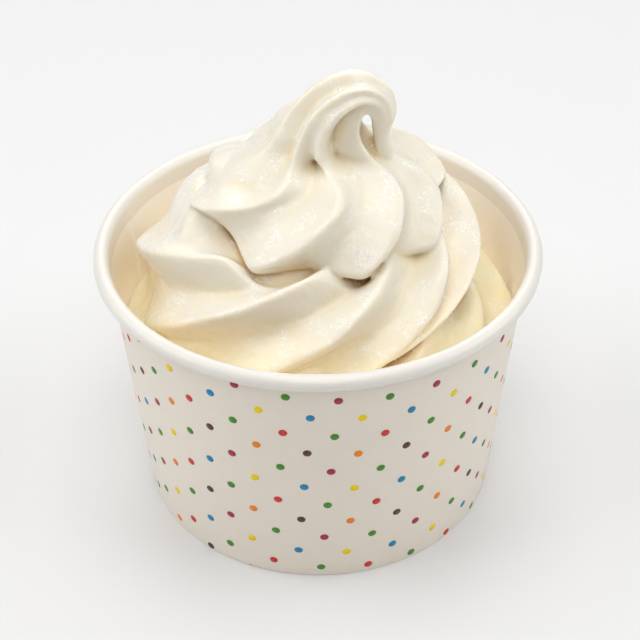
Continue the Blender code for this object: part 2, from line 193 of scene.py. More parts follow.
def buckle(azimuth, height):
    """Slow waves of the paper wall, which fade out at the rim and the foot."""
    fade = min(1.0, height / BUCKLE_FADE, (PRINT_TOP - height) / BUCKLE_FADE)
    turn = math.radians(azimuth)
    waves = sum(
        share * math.sin(count * turn + phase + slant * height)
        for share, count, phase, slant in BUCKLE_WAVES
    )
    return BUCKLE * max(0.0, fade) * waves


def printed_face(azimuth, height):
    """Outside radius of the wall with its seam and waves."""
    return wall_outside(height) + lap_steps(azimuth)[0] * SEAM_STEP + buckle(azimuth, height)


def rolled_edge(radius, start, end, steps):
    """Points of the rim roll from one angle to the other, in radians."""
    turns = [start + (end - start) * i / steps for i in range(steps + 1)]
    return [
        (BEAD_CENTRE_RADIUS + radius * math.cos(turn), BEAD_CENTRE_HEIGHT + radius * math.sin(turn))
        for turn in turns
    ]


def sleeve_section():
    """Radius, height, outer lap share, inner lap share and buckle share around the sheet."""
    leg_outer = SHEET + FIT_GAP + BASE_SHEET + FIT_GAP
    leg_inner = leg_outer + SHEET
    rows = [HEM_CORNER + (PRINT_TOP - HEM_CORNER) * i / SLEEVE_ROWS for i in range(SLEEVE_ROWS + 1)]
    section = [(wall_outside(0.0) - HEM_CORNER, 0.0, 0.0, 0.0, 0.0)]
    section += [(wall_outside(row), row, 1.0, 0.0, 1.0) for row in rows]
    rolled = rolled_edge(BEAD_RADIUS - SHEET, math.pi, CURL_END, ROLL_INNER_STEPS)
    rolled += rolled_edge(BEAD_RADIUS, CURL_END, math.pi, ROLL_OUTER_STEPS)
    section += [(radius, height, 0.0, 0.0, 0.0) for radius, height in rolled]
    section += [(wall_inside(row), row, 0.0, 1.0, 1.0) for row in reversed(rows) if row > LAP_FOOT]
    section += [
        (wall_inside(LAP_FOOT), LAP_FOOT, 0.0, 1.0, 0.0),
        (wall_inside(HEM_TOP), HEM_TOP, 0.0, 0.0, 0.0),
        (wall_inside(SHEET), SHEET, 0.0, 0.0, 0.0),
        (wall_outside(SHEET) - leg_outer, SHEET, 0.0, 0.0, 0.0),
        (wall_outside(HEM_HEIGHT) - leg_outer, HEM_HEIGHT, 0.0, 0.0, 0.0),
        (wall_outside(HEM_HEIGHT) - leg_inner, HEM_HEIGHT, 0.0, 0.0, 0.0),
        (wall_outside(HEM_CORNER) - leg_inner, HEM_CORNER, 0.0, 0.0, 0.0),
        (wall_outside(0.0) - leg_inner + HEM_CORNER, 0.0, 0.0, 0.0, 0.0),
    ]
    return section


def spun(radius, height, azimuth):
    """Point at a radius, a height and an azimuth around the cup."""
    turn = math.radians(azimuth)
    return (radius * math.sin(turn), -radius * math.cos(turn), height)


def sleeve_rings():
    """The section at even stations around the cup and at the four edges of the lap."""
    even = [360.0 * i / SLEEVE_STATIONS for i in range(SLEEVE_STATIONS)]
    lap_ends = [
        SEAM_OUTER_EDGE,
        SEAM_OUTER_EDGE + SEAM_RAMP_ANGLE,
        SEAM_OUTER_EDGE + SEAM_LAP_ANGLE,
        SEAM_OUTER_EDGE + (SEAM_LAP_ANGLE + SEAM_RAMP_ANGLE),
    ]
    clear = [a for a in even if min(abs(a - b) for b in lap_ends) > STATION_GAP]
    rings = []
    for azimuth in sorted(clear + lap_ends):
        outer_step, inner_step = lap_steps(azimuth)
        ring = []
        for radius, height, outer_share, inner_share, buckle_share in sleeve_section():
            step = SEAM_STEP * (outer_step * outer_share - inner_step * inner_share)
            wave = buckle_share * buckle(azimuth, height)
            ring.append(spun(radius + step + wave, height, azimuth))
        rings.append(ring)
    return rings


# Bleached paperboard under a satin film of polyethylene: a warm white whose pulp shows as faint
# clouds some millimetres wide, with a soft sheen broken by the fibres under the film. The fibres
# are drawn some ten times their real width, so that they show.
PULP_WHITE = "#F0E7DA"
PULP_SHADE = "#EDE4D6"
# Painted light: the food side is whiter, for the glow through the thin wall and inside the cup.
FOOD_SIDE_GLOW_WHITE = "#FEFBF5"
FOOD_SIDE_GLOW_SHADE = "#FCF8EF"
# Painted highlight: the rim is a more neutral white than the wall, for its washed-out lit top.
ROLL_HIGHLIGHT_WHITE = "#ECE9E2"
ROLL_HIGHLIGHT_SHADE = "#EAE6DE"
PULP_CLOUD = 3.0 * MM
FIBRE_GRAIN = 0.45 * MM


def coated_paperboard(name, cloud_white, cloud_shade, roughness):
    material, place = new_material(name)
    clouds = add_node(material, "ShaderNodeTexNoise", {
        "Scale": 1.0 / PULP_CLOUD, "Detail": 3.0, "Roughness": 0.6,
    }, {"Vector": place})
    tone = add_node(material, "ShaderNodeMix", {
        "data_type": "RGBA", 6: linear(cloud_white), 7: linear(cloud_shade),
    }, {0: clouds.outputs["Fac"]})
    fibres = add_node(material, "ShaderNodeTexNoise", {
        "Scale": 1.0 / FIBRE_GRAIN, "Detail": 2.0, "Roughness": 0.5,
    }, {"Vector": place})
    relief = add_node(material, "ShaderNodeBump", {
        "Strength": 0.18, "Distance": 0.05 * MM,
    }, {"Height": fibres.outputs["Fac"]})
    board = add_node(material, "ShaderNodeBsdfPrincipled", {
        "Roughness": roughness,
        "IOR": 1.5,
        "Coat Weight": 0.15,
        "Coat Roughness": 0.25,
        "Subsurface Weight": 0.5,
        "Subsurface Radius": (1.0, 0.9, 0.8),
        "Subsurface Scale": 0.12 * MM,
    }, {"Base Color": tone.outputs[2], "Normal": relief.outputs["Normal"]})
    show_shader(material, board)
    return material


sleeve = add_piece(
    "paper_sleeve",
    grid_mesh("paper_sleeve", sleeve_rings(), wrap_rings=True),
    coated_paperboard("coated_paperboard_outside", PULP_WHITE, PULP_SHADE, 0.42),
)
# The food side of the sheet has a thicker, whiter film, and is painted whiter still, as painted
# light for the glow that comes through the thin wall and bounces in the cup. The heat of the
# rolling die glazes the rim.
sleeve.data.materials.append(
    coated_paperboard("coated_paperboard_food_side_painted_glow", FOOD_SIDE_GLOW_WHITE, FOOD_SIDE_GLOW_SHADE, 0.38))
# The rim's more neutral white is a painted highlight for its brightly lit top.
sleeve.data.materials.append(
    coated_paperboard("coated_paperboard_rolled_rim_painted_highlight", ROLL_HIGHLIGHT_WHITE, ROLL_HIGHLIGHT_SHADE, 0.32))
section_points = len(sleeve_section())
for face in sleeve.data.polygons:
    if face.center.z > ROLL_FROM:
        face.material_index = 2
    elif face.index % section_points > SLEEVE_ROWS + 1:
        face.material_index = 1
sleeve.data.set_sharp_from_angle(angle=math.radians(SHARP_ANGLE))
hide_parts("cup_wall")


# The print: small round dots of offset ink, laid on the flat sheet before it is wound. They stand
# in staggered columns, four degrees off the height of the cup, and repeat seven inks. The side
# seam cuts them where the sheet ends.

DOT_RADIUS = 0.90 * MM
COLUMN_PITCH = 5.154 * MM
DOT_PITCH = 10.19 * MM
COLUMN_SHIFT = -0.09 * MM
SHEET_TURN = math.radians(-4.13)
FIRST_DOT = (3.76 * MM, 22.99 * MM)
DOT_SIDES = 28
INK_FILM = 0.02 * MM
COLUMNS_EACH_WAY = 45
ROWS_EACH_WAY = 9
CUT_MARGIN = 0.05 * MM

INKS = {
    "green": "#4F9236",
    "blue": "#288BBB",
    "yellow": "#FADC08",
    "orange": "#F68F2A",
    "red": "#D6403C",
    "raspberry": "#AC3B56",
    "brown": "#604232",
}
# Inks of the even and the odd rows, for each of the four columns that repeat.
COLUMN_INKS = (
    ("raspberry", "green"),
    ("yellow", "orange"),
    ("green", "red"),
    ("blue", "brown"),
)

# The flat fan: its length for each unit of the cup's height, its share of a full circle, and the
# radius of its middle.
FLAT_LENGTH = math.sqrt(1.0 + WALL_SLOPE**2)
FAN_SHARE = WALL_SLOPE / FLAT_LENGTH
FAN_RADIUS = (FOOT_RADIUS / WALL_SLOPE + 0.5 * CUP_HEIGHT) * FLAT_LENGTH


def dot_places():
    """Centre on the flat sheet, relative to the fan's front middle, and ink of every dot."""
    for column in range(-COLUMNS_EACH_WAY, COLUMNS_EACH_WAY + 1):
        odd = 0.5 if column % 2 else 0.0
        for row in range(-ROWS_EACH_WAY, ROWS_EACH_WAY + 1):
            a = column * COLUMN_PITCH
            b = -(row + odd) * DOT_PITCH + COLUMN_SHIFT * column
            u = FIRST_DOT[0] + a * math.cos(SHEET_TURN) - b * math.sin(SHEET_TURN)
            v = FIRST_DOT[1] + a * math.sin(SHEET_TURN) + b * math.cos(SHEET_TURN)
            yield u, v, COLUMN_INKS[column % 4][row % 2]


def wound(u, v):
    """Azimuth in degrees and height on the cup of a point of the flat sheet."""
    along = math.hypot(u, FAN_RADIUS + v)
    turn = math.atan2(u, FAN_RADIUS + v) / FAN_SHARE
    return math.degrees(turn), along / FLAT_LENGTH - FOOT_RADIUS / WALL_SLOPE


def kept_side(outline, measure):
    """The part of a convex outline where a measure of its points isn't negative."""
    kept = []
    for i, point in enumerate(outline):
        after = outline[(i + 1) % len(outline)]
        here, there = measure(point), measure(after)
        if here >= 0.0:
            kept.append(point)
        if (here >= 0.0) != (there >= 0.0):
            share = here / (here - there)
            kept.append(tuple(p + (q - p) * share for p, q in zip(point, after)))
    return kept


def dot_outline(u, v):
    """Outline of one dot as azimuths and heights, cut by the seam, the rim and the foot."""
    outline = []
    for i in range(DOT_SIDES):
        turn = 2.0 * math.pi * i / DOT_SIDES
        outline.append(wound(u + DOT_RADIUS * math.cos(turn), v + DOT_RADIUS * math.sin(turn)))
    limits = (
        lambda point: point[0] - (SEAM_OUTER_EDGE + SEAM_RAMP_ANGLE - 360.0),
        lambda point: SEAM_OUTER_EDGE - point[0],
        lambda point: point[1] - HEM_CORNER - CUT_MARGIN,
        lambda point: PRINT_TOP - CUT_MARGIN - point[1],
    )
    for limit in limits:
        if outline:
            outline = kept_side(outline, limit)
    return outline


def add_dot(shaped, outline):
    """One closed film of ink, its back just inside the paper and its face just outside."""
    centre = tuple(sum(axis) / len(outline) for axis in zip(*outline))
    faces = []
    for film in (INK_FILM, -INK_FILM):
        rim = [shaped.verts.new(spun(printed_face(*p) + film, p[1], p[0])) for p in outline]
        middle = shaped.verts.new(spun(printed_face(*centre) + film, centre[1], centre[0]))
        faces.append((rim, middle))
    (front, front_middle), (back, back_middle) = faces
    for i in range(len(outline)):
        j = (i + 1) % len(outline)
        shaped.faces.new((front[j], front[i], front_middle))
        shaped.faces.new((back[i], back[j], back_middle))
        shaped.faces.new((front[i], front[j], back[j], back[i]))


# Offset ink under the cup's clear film: even, slightly glossier than the board, with a faint
# mottle where the ink lies thinner.
def offset_ink(name, code):
    material, place = new_material(name)
    mottle = add_node(material, "ShaderNodeTexNoise", {
        "Scale": 1.0 / FIBRE_GRAIN, "Detail": 2.0, "Roughness": 0.6,
    }, {"Vector": place})
    thin = add_node(material, "ShaderNodeMapRange", {
        "From Min": 0.45, "From Max": 0.8, "To Min": 0.0, "To Max": 0.08,
    }, {"Value": mottle.outputs["Fac"]})
    tone = add_node(material, "ShaderNodeMix", {
        "data_type": "RGBA", 6: linear(code), 7: linear(PULP_WHITE),
    }, {0: thin.outputs["Result"]})
    ink = add_node(material, "ShaderNodeBsdfPrincipled", {
        "Roughness": 0.45, "IOR": 1.5, "Specular IOR Level": 0.12,
    }, {"Base Color": tone.outputs[2]})
    show_shader(material, ink)
    return material


films = {ink: bmesh.new() for ink in INKS}
for dot_u, dot_v, dot_ink in dot_places():
    cut_dot = dot_outline(dot_u, dot_v)
    if len(cut_dot) > 2:
        add_dot(films[dot_ink], cut_dot)
for ink, film in films.items():
    print_mesh = bpy.data.meshes.new("printed_dots_" + ink)
    film.to_mesh(print_mesh)
    film.free()
    add_piece("printed_dots_" + ink, print_mesh, offset_ink("offset_ink_" + ink, INKS[ink]))


# The bottom disc: the same board, pressed into a shallow tray whose skirt is clamped in the hem.
# The solid model's own disc is kept, and takes the board's finish.

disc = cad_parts["cup_base"]
disc.data.materials.clear()
disc.data.materials.append(coated_paperboard("coated_paperboard_disc", PULP_WHITE, PULP_SHADE, 0.5))


# The frozen yogurt: soft serve pressed through a fluted nozzle, laid in three turns and drawn up
# into a peak that curls over. It is one body of food: the turns melt together where they touch.

FILL_FOOT = 7.0 * MM
FILL_HEIGHTS = (FILL_FOOT, 8.0 * MM, 20.0 * MM, 34.0 * MM, 41.5 * MM)
# How far the yogurt is drawn into the face of the sheet, so that no light shows between them.
PAPER_OVERLAP = 0.10 * MM
FLUTE_SHARPNESS = 1.9
RIDGE_ROUNDING = 0.18
FULL_FLUTE_ANGLE = 45.0
WIDEST_FLUTE = 1.05
AROUND = 480
TURN_RINGS = 130
TOP_RINGS = 300
VOXEL = 0.36 * MM
SMOOTH_ROUNDS = 5
SMOOTH_FACTOR = 0.5
YOGURT_TRIANGLES = 190000
LUMP_DEPTH = 0.10 * MM
LUMP_SIZE = 4.5 * MM
LUMP_SCALING = (0.7, 2.1, 3)
TOP_FIT_FROM = 80.0 * MM


def smooth_curve(knots, values, at):
    """Cubic curve through the knots, with slopes from the neighbours (Catmull-Rom)."""
    knots = np.asarray(knots, float)
    values = np.asarray(values, float)
    at = np.clip(at, knots[0], knots[-1])
    slopes = np.gradient(values, knots)
    left = np.clip(np.searchsorted(knots, at, side="right") - 1, 0, len(knots) - 2)
    span = knots[left + 1] - knots[left]
    t = (at - knots[left]) / span
    start = values[left] * (2 * t**3 - 3 * t**2 + 1) + slopes[left] * span * (t**3 - 2 * t**2 + t)
    end = values[left + 1] * (3 * t**2 - 2 * t**3) + slopes[left + 1] * span * (t**3 - t**2)
    return start + end


def between_ridges(azimuth, ridges, *ridge_values):
    """Valley depth share at each azimuth, and the values of the two ridges beside it blended.

    The share is 0 on a ridge and 1 in the middle of a full flute; narrow flutes are shallow.
    """
    order = np.argsort(np.mod(ridges, 360.0))
    sorted_ridges = np.mod(ridges, 360.0)[order]
    closed = np.concatenate([sorted_ridges, sorted_ridges[:1] + 360.0])
    turned = np.mod(azimuth - closed[0], 360.0) + closed[0]
    left = np.clip(np.searchsorted(closed, turned, side="right") - 1, 0, len(order) - 1)
    gap = closed[left + 1] - closed[left]
    place = (turned - closed[left]) / np.maximum(gap, 1e-6)
    from_ridge = 1.0 - np.abs(2.0 * place - 1.0)
    rounded = np.hypot(from_ridge, RIDGE_ROUNDING) - RIDGE_ROUNDING
    rounded /= math.hypot(1.0, RIDGE_ROUNDING) - RIDGE_ROUNDING
    valley = 1.0 - (1.0 - rounded) ** FLUTE_SHARPNESS
    valley *= np.minimum(gap / FULL_FLUTE_ANGLE, WIDEST_FLUTE)
    eased = place * place * (3.0 - 2.0 * place)
    blended = []
    for values in ridge_values:
        near = np.asarray(values, float)[order]
        closed_values = np.concatenate([near, near[:1]])
        blended.append(closed_values[left] * (1.0 - eased) + closed_values[left + 1] * eased)
    return valley, *blended


AZIMUTHS = np.arange(AROUND) * 360.0 / AROUND

# Lower and middle turns, in millimetres and degrees. The stations run up the outside of the
# turn and over its top: radius, height, how far the ridges have twisted as a height, and the
# depth of the flutes. The foot is given at the front, right, back and left of the cup; tuck is
# how far above the foot the side leans in, and by what share. Ridges: azimuth at the ridge
# height, twist per millimetre above and below it, how high it rides, its reach, and the share of
# the full depth of the flutes beside it. Pockets are hollows between the folds: azimuth and
# station, half-width in degrees and in stations, and depth, which is negative for a swelling. These
# are the solid model's values, except that the middle turn's first pocket is wider and deeper
# here, and the ridges are a little rounder.
LOWER_TURN = {
    "centre": (0.0, 0.0),
    "stations": (
        (43.5, 32.0, 32.0, 0.5),
        (43.3, 38.0, 38.0, 1.0),
        (43.0, 42.0, 42.0, 2.4),
        (41.4, 45.0, 45.0, 3.2),
        (39.4, 48.0, 48.0, 3.4),
        (37.0, 51.0, 51.0, 3.4),
        (34.0, 53.4, 54.0, 3.4),
        (31.0, 54.0, 56.0, 3.2),
        (28.0, 52.6, 58.0, 2.5),
        (25.0, 50.0, 60.0, 1.5),
    ),
    "foot": (30.0, 30.0, 30.0, 30.0),
    "tuck": (3.0, 0.0),
    "ridge_height": 46.0,
    "ridges": (
        (-160.0, 3.0, 2.0, 1.5, 1.0, 1.0),
        (-115.0, 3.0, 2.0, 0.5, 1.0, 1.0),
        (-68.0, 3.0, 2.0, 0.0, 1.0, 1.0),
        (-28.0, 3.0, 2.0, 0.0, 1.0, 1.0),
        (14.0, 3.0, 2.0, 0.0, 1.0, 1.0),
        (52.0, 3.0, 2.0, 0.5, 1.0, 1.0),
        (98.0, 3.0, 2.0, 1.0, 1.0, 1.0),
        (146.0, 3.0, 2.0, 2.0, 1.0, 1.0),
    ),
    "pockets": (),
}
MIDDLE_TURN = {
    "centre": (-1.8, 0.0),
    "stations": (
        (34.0, 42.0, 42.0, 3.0),
        (36.5, 46.0, 46.0, 4.0),
        (37.3, 50.0, 50.0, 4.6),
        (37.2, 55.0, 55.0, 5.0),
        (36.9, 59.0, 59.0, 5.1),
        (36.0, 62.0, 62.0, 5.2),
        (33.6, 66.0, 66.0, 5.6),
        (30.6, 68.7, 69.4, 5.9),
        (27.8, 70.2, 72.0, 5.6),
        (25.2, 70.6, 74.0, 4.8),
        (22.4, 70.2, 76.0, 3.8),
        (19.5, 69.2, 78.0, 2.8),
        (16.0, 67.8, 80.0, 1.8),
    ),
    "foot": (50.0, 58.5, 66.0, 46.0),
    "tuck": (2.4, 0.26),
    "ridge_height": 62.0,
    "ridges": (
        (-83.0, 4.0, 3.0, 1.2, 1.0, 0.75),
        (-37.0, 3.4, 2.4, 0.0, 1.0, 1.0),
        (8.0, 2.6, 2.7, -0.3, 1.0, 1.0),
        (45.0, 2.6, 2.8, 0.2, 1.0, 1.0),
        (84.0, 3.0, 5.6, 3.5, 1.0, 1.0),
        (130.0, 3.0, 4.5, 3.5, 1.0, 1.0),
        (178.0, 3.0, 3.0, 3.5, 0.97, 0.8),
        (227.0, 3.5, 3.0, 2.8, 0.87, 0.05),
    ),
    "pockets": (
        (-26.0, 9.7, 15.0, 1.1, 3.6),
        (-24.0, 7.8, 12.0, 0.9, -1.4),
        (-70.0, 8.5, 13.0, 2.2, -3.2),
        (24.0, 9.6, 10.0, 0.9, 1.5),
    ),
}


def around_cup(quarters, azimuth):
    """Value at an azimuth from the values at the front, right, back and left."""
    front, right, back, left = quarters
    knots = (-90.0, 0.0, 90.0, 180.0, 270.0)
    turned = np.mod(azimuth + 90.0, 360.0) - 90.0
    place = np.clip(np.searchsorted(knots, turned, side="right") - 1, 0, 3)
    values = np.array((left, front, right, back, left))
    share = (turned - np.array(knots)[place]) / 90.0
    eased = share * share * (3.0 - 2.0 * share)
    return values[place] * (1.0 - eased) + values[place + 1] * eased


def along_stations(stations, rings):
    """Values at evenly spaced places along a list of stations."""
    table = np.array(stations)
    knots = np.arange(len(table), dtype=float)
    places = np.linspace(0.0, knots[-1], rings)
    columns = [smooth_curve(knots, table[:, k], places) for k in range(table.shape[1])]
    return places, np.stack(columns, axis=1)


def pockets(places, at):
    """Depth of the pockets at every azimuth of a station."""
    depth = np.zeros(AROUND)
    for middle, station, half_width, half_length, painted_shade_share in places:
        turn = np.mod(AZIMUTHS - middle + 180.0, 360.0) - 180.0
        depth += painted_shade_share * np.exp(-(turn / half_width) ** 2 - ((at - station) / half_length) ** 2)
    return depth


def coil_turn(turn):
    """Rings of one turn of the coil: a fluted body whose foot climbs around the cup."""
    azimuth, twist_above, twist_below, ride, reach, cut = np.array(turn["ridges"]).T
    tuck_height, tuck_share = turn["tuck"]
    foot = around_cup(turn["foot"], AZIMUTHS)
    angle = np.radians(AZIMUTHS)
    rings = []
    places, stations = along_stations(turn["stations"], TURN_RINGS)
    slope = np.gradient(stations[:, :2], axis=0)
    slope /= np.linalg.norm(slope, axis=1)[:, None]
    for at, (radius, height, progress, depth), (outward, upward) in zip(places, stations, slope):
        rise = progress - turn["ridge_height"]
        twist = twist_above if rise > 0.0 else twist_below
        ridges = azimuth + twist * rise
        valley, lift, stretch, share = between_ridges(AZIMUTHS, ridges, ride, reach, cut)
        valley *= share
        over_top = max(0.0, progress - height)
        above = np.clip((height + lift + over_top - foot) / tuck_height, 0.0, 1.0)
        tuck = tuck_share * (1.0 - np.sqrt(1.0 - (1.0 - above) ** 2))
        sink = depth * valley + pockets(turn["pockets"], at)
        body = radius * stretch * (1.0 - tuck) - sink * upward
        rings.append(np.stack([
            turn["centre"][0] + body * np.sin(angle),
            turn["centre"][1] - body * np.cos(angle),
            height + lift + sink * outward,
        ], axis=1) * MM)
    return rings


# Top turn and curl: stations along the drawn-up centre line, in millimetres and degrees.
# Each: radius, x, y, z, tilt toward +X, and the depth of the flutes.
TOP_STATIONS = (
    (14.0, 0.0, 0.0, 70.0, 0.0, 1.5),
    (21.5, 0.0, 0.0, 69.7, 0.0, 3.0),
    (25.6, 0.0, 0.0, 69.8, 0.0, 4.2),
    (27.0, 0.0, 0.0, 71.5, 0.0, 4.6),
    (26.3, 0.0, 0.0, 74.5, 0.0, 4.5),
    (24.2, 0.0, 0.0, 77.7, 0.0, 4.4),
    (20.6, 0.2, 0.0, 80.3, 0.0, 4.4),
    (16.3, 0.4, 0.0, 82.8, 0.0, 4.6),
    (12.2, 0.9, 0.0, 85.0, 2.0, 4.8),
    (9.9, 1.6, -0.3, 87.8, 8.0, 3.8),
    (8.3, 2.6, -0.6, 91.0, 20.0, 2.8),
    (6.8, 4.8, -1.0, 94.4, 46.0, 2.2),
    (5.2, 8.6, -1.4, 97.0, 85.0, 1.5),
    (3.8, 12.0, -1.7, 96.0, 135.0, 0.7),
    (2.7, 13.2, -1.9, 92.6, 172.0, 0.2),
    (1.8, 12.9, -2.1, 89.4, 186.0, 0.0),
    (1.6, 13.1, -2.3, 86.6, 172.0, 0.0),
    (1.6, 13.8, -2.6, 84.4, 158.0, 0.0),
    (0.9, 14.4, -2.9, 83.0, 150.0, 0.0),
)
# Ridges of the top turn: azimuths at five stations from the foot to the peak, reach at the foot
# and on the crown of the turn, how high the foot rides, and the share of the full flute depth.
TOP_RIDGE_STATIONS = (3.0, 5.0, 7.0, 9.0, 11.0)
TOP_RIDGES = (
    (-123.0, -96.0, -79.0, -78.0, -92.0, 0.90, 1.0, 5.6, 0.45),
    (-77.0, -54.0, -29.0, -35.0, -40.0, 1.0, 1.0, 4.2, 0.95),
    (-28.0, -4.0, 14.0, -9.0, -11.0, 1.0, 1.0, -1.0, 1.0),
    (20.0, 43.0, 59.0, 55.0, 52.0, 1.0, 1.06, -1.6, 1.0),
    (61.0, 82.0, 80.0, 90.0, 100.0, 1.02, 1.12, -2.6, 1.0),
    (105.0, 126.0, 130.0, 127.0, 130.0, 1.04, 1.0, 2.5, 1.0),
    (149.0, 170.0, 178.0, 176.0, 176.0, 0.97, 1.08, 3.0, 0.8),
    (194.0, 215.0, 226.0, 228.0, 230.0, 0.86, 1.2, 3.5, 0.5),
)
CROWN_SPAN = (5.0, 9.0)
TOP_POCKETS = (
    (-8.0, 7.8, 11.0, 0.5, 2.8),
    (-25.0, 10.2, 13.0, 1.4, -1.2),
    (21.0, 10.0, 20.0, 1.6, 2.4),
    (34.0, 8.1, 12.0, 0.45, 1.0),
)
PEAK_FROM = 10.0
TOP_LIFT_SPAN = (70.0, 80.0)


def eased_step(value, start, end):
    """Goes smoothly from 0 at the start to 1 at the end."""
    share = min(1.0, max(0.0, (value - start) / (end - start)))
    return share * share * (3.0 - 2.0 * share)


def top_turn():
    """Rings of the top turn, the peak and the curl, swept along the centre line."""
    columns = np.array(TOP_RIDGES).T
    knots = len(TOP_RIDGE_STATIONS)
    ridge_tracks = columns[:knots]
    foot_reach, crown_reach, ride, cut = columns[knots:]
    angle = np.radians(AZIMUTHS)
    rings = []
    for at, values in zip(*along_stations(TOP_STATIONS, TOP_RINGS)):
        radius, x, y, z, tilt, depth = values
        ridges = np.array([smooth_curve(TOP_RIDGE_STATIONS, track, at) for track in ridge_tracks.T])
        crown = eased_step(at, *CROWN_SPAN)
        reach = foot_reach * (1.0 - crown) + crown_reach * crown
        valley, stretch, lift, share = between_ridges(AZIMUTHS, ridges, reach, ride, cut)
        spread = min(1.0, max(0.0, PEAK_FROM - at))
        valley *= 1.0 - (1.0 - share) * spread
        body = radius * (1.0 + (stretch - 1.0) * spread) - depth * valley - pockets(TOP_POCKETS, at)
        lift_share = (TOP_LIFT_SPAN[1] - z) / (TOP_LIFT_SPAN[1] - TOP_LIFT_SPAN[0])
        lean = math.radians(tilt)
        across = body * np.sin(angle)
        rings.append(np.stack([
            x + across * math.cos(lean),
            y - body * np.cos(angle),
            z - across * math.sin(lean) + lift * min(1.0, max(0.0, lift_share)),
        ], axis=1) * MM)
    return rings


def fill_rings():
    """Rings of the plain fill below the turns, against the paper."""
    angle = np.radians(AZIMUTHS)
    rings = []
    for height in FILL_HEIGHTS:
        radius = wall_inside(height) + PAPER_OVERLAP
        rings.append(np.stack([
            radius * np.sin(angle),
            -radius * np.cos(angle),
            np.full(AROUND, height),
        ], axis=1))
    return rings


def evaluated_mesh(carrier):
    """A new mesh of an object with its modifiers applied."""
    graph = bpy.context.evaluated_depsgraph_get()
    return bpy.data.meshes.new_from_object(carrier.evaluated_get(graph))


def drop_specks(mesh):
    """Drops the few loose triangles that the thinning leaves beside the one closed skin."""
    skin = bmesh.new()
    skin.from_mesh(mesh)
    seen = [False] * len(skin.verts)
    shells = []
    for first in skin.verts:
        if seen[first.index]:
            continue
        seen[first.index] = True
        shell = [first]
        for spot in shell:
            for edge in spot.link_edges:
                other = edge.other_vert(spot)
                if not seen[other.index]:
                    seen[other.index] = True
                    shell.append(other)
        shells.append(shell)
    shells.sort(key=len)
    specks = [spot for shell in shells[:-1] for spot in shell]
    bmesh.ops.delete(skin, geom=specks, context="VERTS")
    skin.to_mesh(mesh)
    skin.free()


def fused(bodies):
    """One closed skin around the overlapping turns, softened and thinned."""
    joined = bmesh.new()
    for mesh in bodies:
        joined.from_mesh(mesh)
    mesh = bpy.data.meshes.new("yogurt_turns")
    joined.to_mesh(mesh)
    joined.free()
    carrier = bpy.data.objects.new("yogurt_turns", mesh)
    bpy.context.scene.collection.objects.link(carrier)
    remesh = carrier.modifiers.new("fuse", "REMESH")
    remesh.mode = "VOXEL"
    remesh.voxel_size = VOXEL
    soften = carrier.modifiers.new("soften", "SMOOTH")
    soften.factor = SMOOTH_FACTOR
    soften.iterations = SMOOTH_ROUNDS
    skin = evaluated_mesh(carrier)
    carrier.modifiers.clear()
    carrier.data = skin
    thin = carrier.modifiers.new("thin", "DECIMATE")
    thin.use_collapse_triangulate = True
    thin.ratio = min(1.0, YOGURT_TRIANGLES / (2.0 * len(skin.polygons)))
    skin = evaluated_mesh(carrier)
    bpy.data.objects.remove(carrier, do_unlink=True)
    drop_specks(skin)
    return skin


def settle(mesh):
    """Adds the soft unevenness of real food, then fits it to the paper and the solid's height.

    Against the wall it reaches PAPER_OVERLAP into the sheet, where the solid model stops short.
    """
    normals = [vertex.normal.copy() for vertex in mesh.vertices]
    for vertex, normal in zip(mesh.vertices, normals):
        lump = noise.fractal(vertex.co / LUMP_SIZE, *LUMP_SCALING)
        vertex.co += normal * (LUMP_DEPTH * lump)
    highest = max(vertex.co.z for vertex in mesh.vertices)
    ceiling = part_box("frozen_yogurt")[1].z
    squeeze = (ceiling - TOP_FIT_FROM) / (highest - TOP_FIT_FROM)
    for vertex in mesh.vertices:
        spot = vertex.co
        if spot.z > TOP_FIT_FROM:
            spot.z = TOP_FIT_FROM + (spot.z - TOP_FIT_FROM) * squeeze
        spot.z = max(spot.z, FILL_FOOT)
        if spot.z < CUP_HEIGHT:
            azimuth = math.degrees(math.atan2(spot.x, -spot.y))
            lap = lap_steps(azimuth)[1] * SEAM_STEP
            limit = wall_inside(spot.z) + buckle(azimuth, spot.z) - lap + PAPER_OVERLAP
            radius = math.hypot(spot.x, spot.y)
            if radius > limit:
                spot.x *= limit / radius
                spot.y *= limit / radius


# Rounds of smoothing that stand for the wide and the close surroundings of a point.
FOLD_ROUNDS = 70
CREASE_ROUNDS = 9
# Looks outward from each point: how many, from how far off the skin, how far they reach, how
# wide they spread from its normal, the turn between them in radians, and the smoothing after.
LOOKS = 14
LOOK_FROM = 0.3 * MM
LOOK_REACH = 12.0 * MM
WIDEST_LOOK = 0.95
GOLDEN_TURN = 2.39996
SHELTER_ROUNDS = 8


def smoothed(spots, edges, rounds):
    """Points after rounds of moving each one to the middle of its neighbours."""
    near = np.concatenate([edges[:, 0], edges[:, 1]])
    far = np.concatenate([edges[:, 1], edges[:, 0]])
    neighbours = np.bincount(near, minlength=len(spots))
    for _ in range(rounds):
        sums = [np.bincount(near, column[far], minlength=len(spots)) for column in spots.T]
        spots = np.stack(sums, axis=1) / neighbours[:, None]
    return spots


